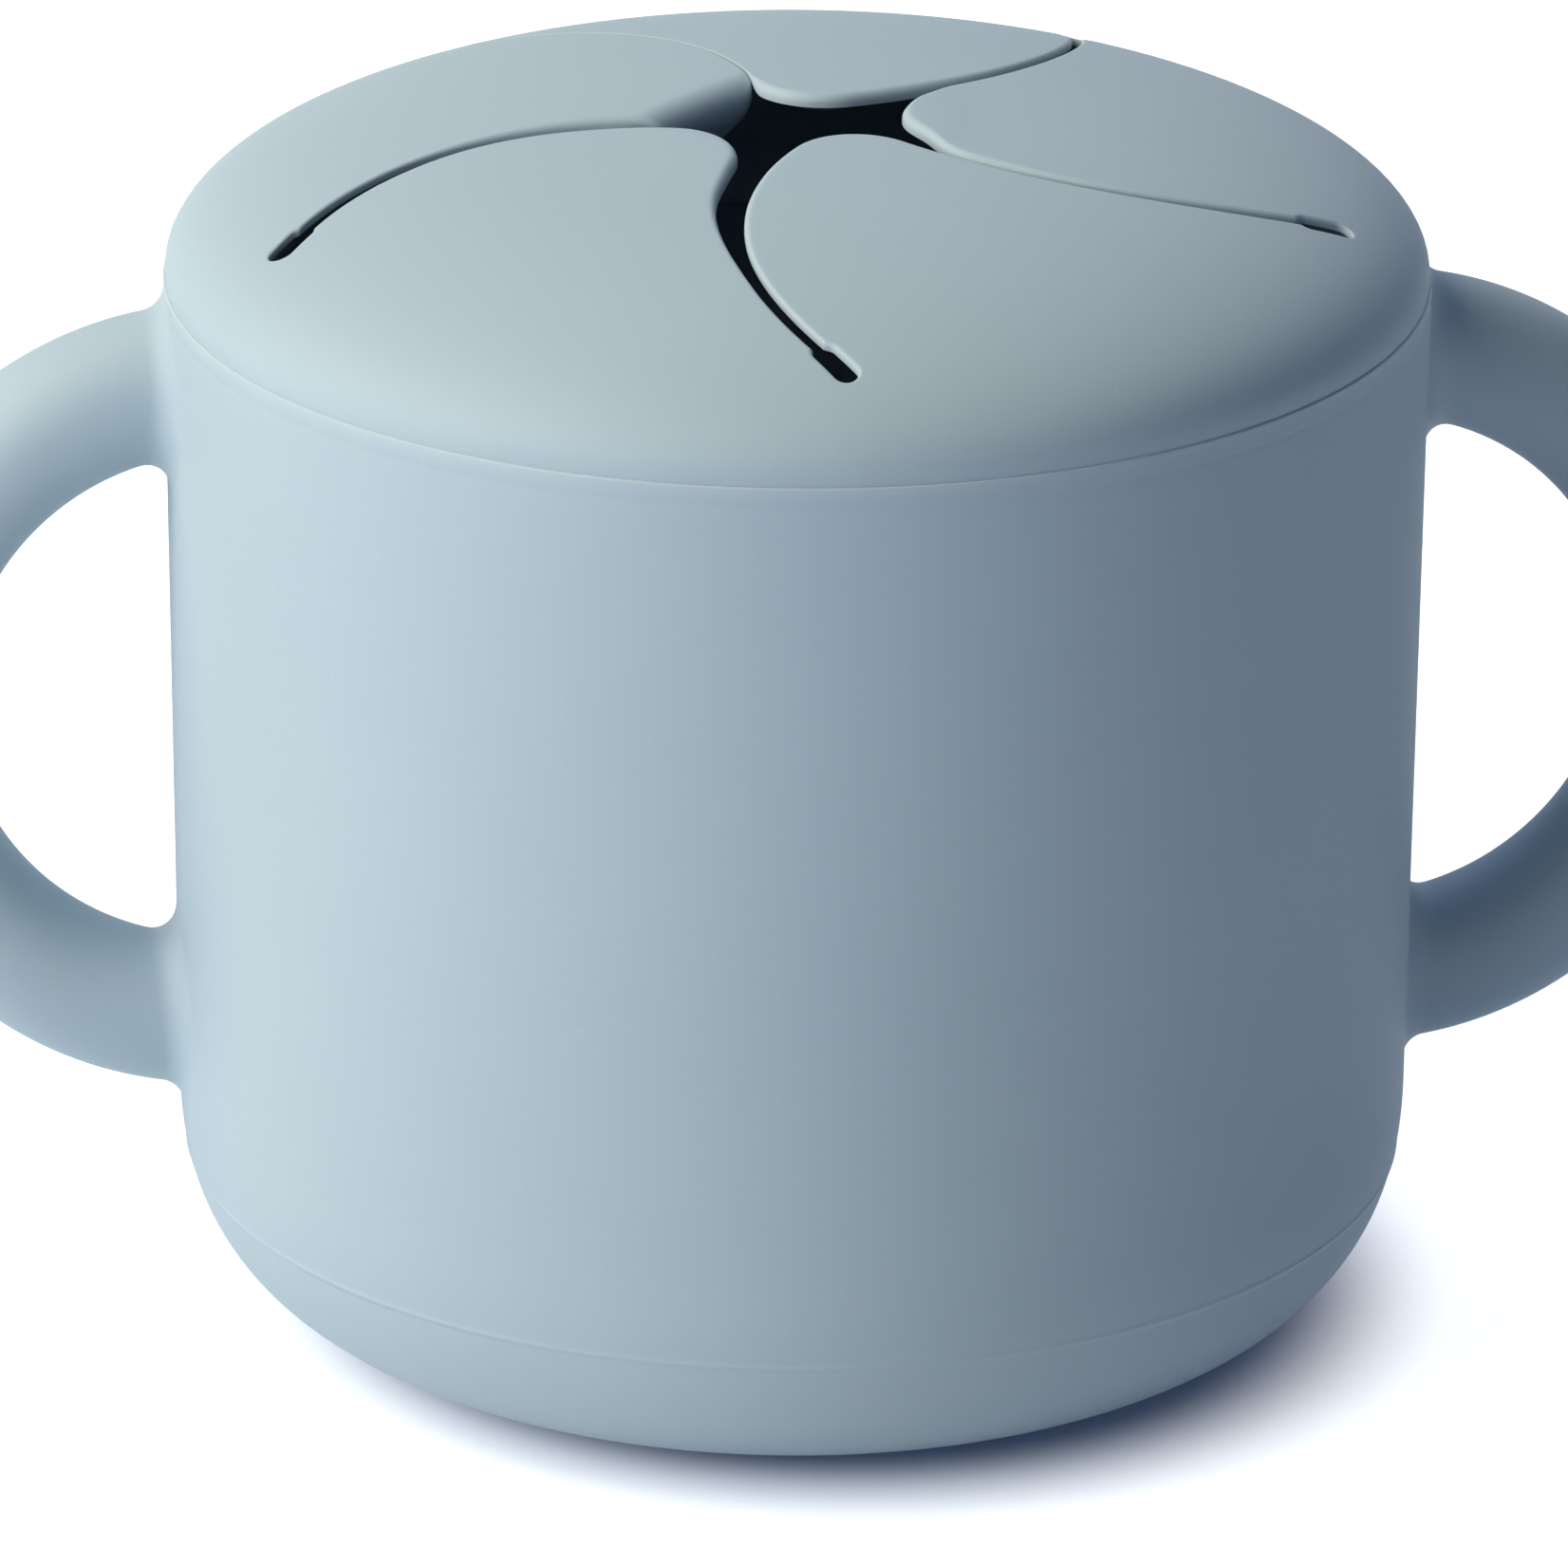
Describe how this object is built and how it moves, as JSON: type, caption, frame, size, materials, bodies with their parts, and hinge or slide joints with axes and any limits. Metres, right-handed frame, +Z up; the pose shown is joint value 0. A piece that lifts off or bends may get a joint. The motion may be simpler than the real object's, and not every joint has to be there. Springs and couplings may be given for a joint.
{
  "type": "toddler snack container",
  "caption": "Soft silicone snack cup with two ring handles and a press-on lid whose curved flaps let a small hand in and keep the snacks from spilling.",
  "frame": {"origin": "middle of the cup's flat resting face", "axes": "+Z up along the cup's axis, +X through the right handle, the handles lie in the XZ plane"},
  "size_m": [0.1372, 0.089, 0.0884],
  "materials": {
    "cup_silicone": "matt moulded silicone",
    "handle_silicone": "matt moulded silicone",
    "lid_silicone": "matt moulded silicone"
  },
  "bodies": {
    "cup": {"cup_base": "cup_silicone", "cup_wall": "cup_silicone", "left_handle": "handle_silicone", "right_handle": "handle_silicone"},
    "lid": {"lid_cap": "lid_silicone", "lid_plug": "lid_silicone"},
    "flap_1_body": {"flap_1": "lid_silicone"},
    "flap_2_body": {"flap_2": "lid_silicone"},
    "flap_3_body": {"flap_3": "lid_silicone"},
    "flap_4_body": {"flap_4": "lid_silicone"},
    "flap_5_body": {"flap_5": "lid_silicone"}
  },
  "joints": [
    {"name": "lid_lift", "type": "slide", "parent": "cup", "child": "lid", "axis": [0, 0, 1], "range_m": [0, 0.06]},
    {"name": "flap_1_bend", "type": "hinge", "parent": "lid", "child": "flap_1_body", "pos_m": [0.00501, 0.02142, 0.08582], "axis": [0.9737, -0.2277, 0], "range_deg": [-30, 60], "stiffness_Nm_per_rad": 0.02},
    {"name": "flap_2_bend", "type": "hinge", "parent": "lid", "child": "flap_2_body", "pos_m": [-0.01883, 0.01138, 0.08582], "axis": [0.5174, 0.8557, 0], "range_deg": [-30, 60], "stiffness_Nm_per_rad": 0.02},
    {"name": "flap_3_bend", "type": "hinge", "parent": "lid", "child": "flap_3_body", "pos_m": [-0.01664, -0.01439, 0.08582], "axis": [-0.654, 0.7565, 0], "range_deg": [-30, 60], "stiffness_Nm_per_rad": 0.02},
    {"name": "flap_4_bend", "type": "hinge", "parent": "lid", "child": "flap_4_body", "pos_m": [0.00854, -0.02028, 0.08582], "axis": [-0.9216, -0.3882, 0], "range_deg": [-30, 60], "stiffness_Nm_per_rad": 0.02},
    {"name": "flap_5_bend", "type": "hinge", "parent": "lid", "child": "flap_5_body", "pos_m": [0.02192, 0.00186, 0.08582], "axis": [0.0844, -0.9964, 0], "range_deg": [-30, 60], "stiffness_Nm_per_rad": 0.02}
  ]
}
